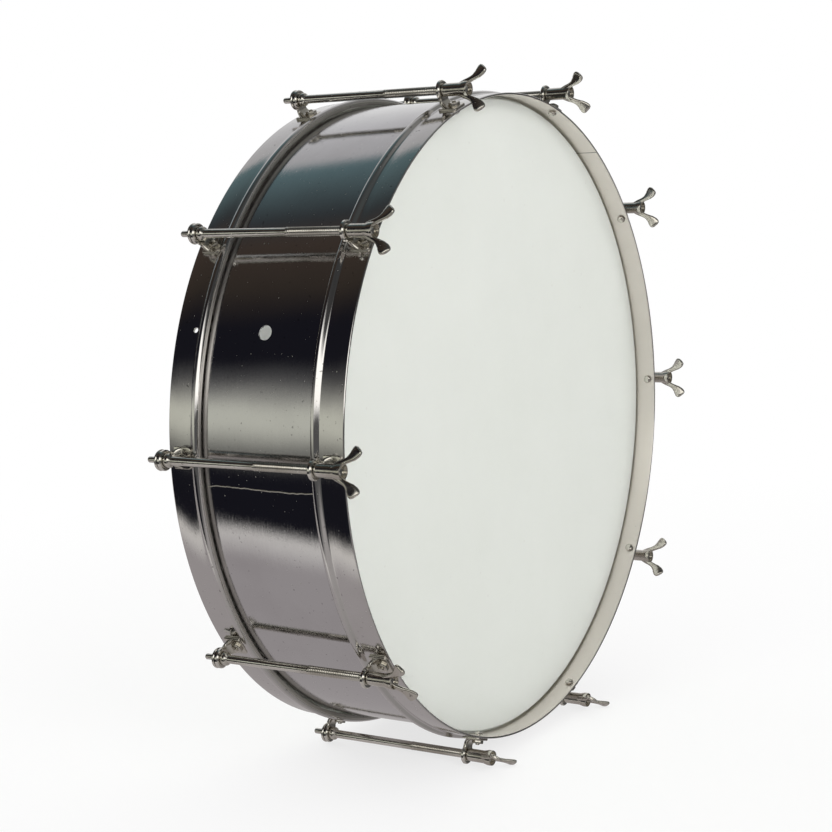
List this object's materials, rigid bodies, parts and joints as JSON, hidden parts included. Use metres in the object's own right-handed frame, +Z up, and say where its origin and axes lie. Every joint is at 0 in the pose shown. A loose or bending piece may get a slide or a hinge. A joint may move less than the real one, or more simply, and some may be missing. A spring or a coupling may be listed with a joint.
{
  "type": "side drum",
  "caption": "Shallow two-headed drum with a metal shell, flat metal hoops, rod tension with wing nuts, standing on its edge.",
  "frame": {"origin": "middle of the underside of the part's box, on the surface that the drum stands on", "axes": "+Y along the drum's axis from the front head to the rear head, +Z up, with the drum on its edge"},
  "size_m": [0.505, 0.1646, 0.4884],
  "materials": {
    "shell_metal": "polished, finely brushed sheet steel",
    "hoop_metal": "polished, lightly scratched nickel plate",
    "hardware_metal": "worn nickel plate with a warm tint",
    "flesh_hoop_metal": "plain rolled steel",
    "skin": "smooth white film with a soft sheen"
  },
  "bodies": {
    "drum_body": {"shell": "shell_metal", "rear_hoop": "hoop_metal", "front_head": "skin", "rear_head": "skin", "front_flesh_hoop": "flesh_hoop_metal", "rear_flesh_hoop": "flesh_hoop_metal", "tension_rod_1": "hardware_metal", "tension_rod_2": "hardware_metal", "tension_rod_3": "hardware_metal", "tension_rod_4": "hardware_metal", "tension_rod_5": "hardware_metal", "tension_rod_6": "hardware_metal", "tension_rod_7": "hardware_metal", "tension_rod_8": "hardware_metal", "tension_rod_9": "hardware_metal", "tension_rod_10": "hardware_metal", "rear_lug_1": "hardware_metal", "rear_lug_2": "hardware_metal", "rear_lug_3": "hardware_metal", "rear_lug_4": "hardware_metal", "rear_lug_5": "hardware_metal", "rear_lug_6": "hardware_metal", "rear_lug_7": "hardware_metal", "rear_lug_8": "hardware_metal", "rear_lug_9": "hardware_metal", "rear_lug_10": "hardware_metal", "rear_nut_1": "hardware_metal", "rear_nut_2": "hardware_metal", "rear_nut_3": "hardware_metal", "rear_nut_4": "hardware_metal", "rear_nut_5": "hardware_metal", "rear_nut_6": "hardware_metal", "rear_nut_7": "hardware_metal", "rear_nut_8": "hardware_metal", "rear_nut_9": "hardware_metal", "rear_nut_10": "hardware_metal"},
    "front_hoop_assembly": {"front_hoop": "hoop_metal", "front_lug_1": "hardware_metal", "front_lug_2": "hardware_metal", "front_lug_3": "hardware_metal", "front_lug_4": "hardware_metal", "front_lug_5": "hardware_metal", "front_lug_6": "hardware_metal", "front_lug_7": "hardware_metal", "front_lug_8": "hardware_metal", "front_lug_9": "hardware_metal", "front_lug_10": "hardware_metal"},
    "wing_nut_1_body": {"wing_nut_1": "hardware_metal"},
    "wing_nut_2_body": {"wing_nut_2": "hardware_metal"},
    "wing_nut_3_body": {"wing_nut_3": "hardware_metal"},
    "wing_nut_4_body": {"wing_nut_4": "hardware_metal"},
    "wing_nut_5_body": {"wing_nut_5": "hardware_metal"},
    "wing_nut_6_body": {"wing_nut_6": "hardware_metal"},
    "wing_nut_7_body": {"wing_nut_7": "hardware_metal"},
    "wing_nut_8_body": {"wing_nut_8": "hardware_metal"},
    "wing_nut_9_body": {"wing_nut_9": "hardware_metal"},
    "wing_nut_10_body": {"wing_nut_10": "hardware_metal"}
  },
  "joints": [
    {"name": "front_hoop_slide", "type": "slide", "parent": "drum_body", "child": "front_hoop_assembly", "axis": [0, -1, 0], "range_m": [0, 0.006]},
    {"name": "wing_nut_1_turn", "type": "hinge", "parent": "front_hoop_assembly", "child": "wing_nut_1_body", "pos_m": [0.245, -0.05085, 0.24028], "axis": [0, -1, 0], "continuous": true},
    {"name": "wing_nut_2_turn", "type": "hinge", "parent": "front_hoop_assembly", "child": "wing_nut_2_body", "pos_m": [0.19821, -0.05085, 0.38429], "axis": [0, -1, 0], "continuous": true},
    {"name": "wing_nut_3_turn", "type": "hinge", "parent": "front_hoop_assembly", "child": "wing_nut_3_body", "pos_m": [0.07571, -0.05085, 0.47329], "axis": [0, -1, 0], "continuous": true},
    {"name": "wing_nut_4_turn", "type": "hinge", "parent": "front_hoop_assembly", "child": "wing_nut_4_body", "pos_m": [-0.07571, -0.05085, 0.47329], "axis": [0, -1, 0], "continuous": true},
    {"name": "wing_nut_5_turn", "type": "hinge", "parent": "front_hoop_assembly", "child": "wing_nut_5_body", "pos_m": [-0.19821, -0.05085, 0.38429], "axis": [0, -1, 0], "continuous": true},
    {"name": "wing_nut_6_turn", "type": "hinge", "parent": "front_hoop_assembly", "child": "wing_nut_6_body", "pos_m": [-0.245, -0.05085, 0.24028], "axis": [0, -1, 0], "continuous": true},
    {"name": "wing_nut_7_turn", "type": "hinge", "parent": "front_hoop_assembly", "child": "wing_nut_7_body", "pos_m": [-0.19821, -0.05085, 0.09628], "axis": [0, -1, 0], "continuous": true},
    {"name": "wing_nut_8_turn", "type": "hinge", "parent": "front_hoop_assembly", "child": "wing_nut_8_body", "pos_m": [-0.07571, -0.05085, 0.00728], "axis": [0, -1, 0], "continuous": true},
    {"name": "wing_nut_9_turn", "type": "hinge", "parent": "front_hoop_assembly", "child": "wing_nut_9_body", "pos_m": [0.07571, -0.05085, 0.00728], "axis": [0, -1, 0], "continuous": true},
    {"name": "wing_nut_10_turn", "type": "hinge", "parent": "front_hoop_assembly", "child": "wing_nut_10_body", "pos_m": [0.19821, -0.05085, 0.09628], "axis": [0, -1, 0], "continuous": true}
  ]
}
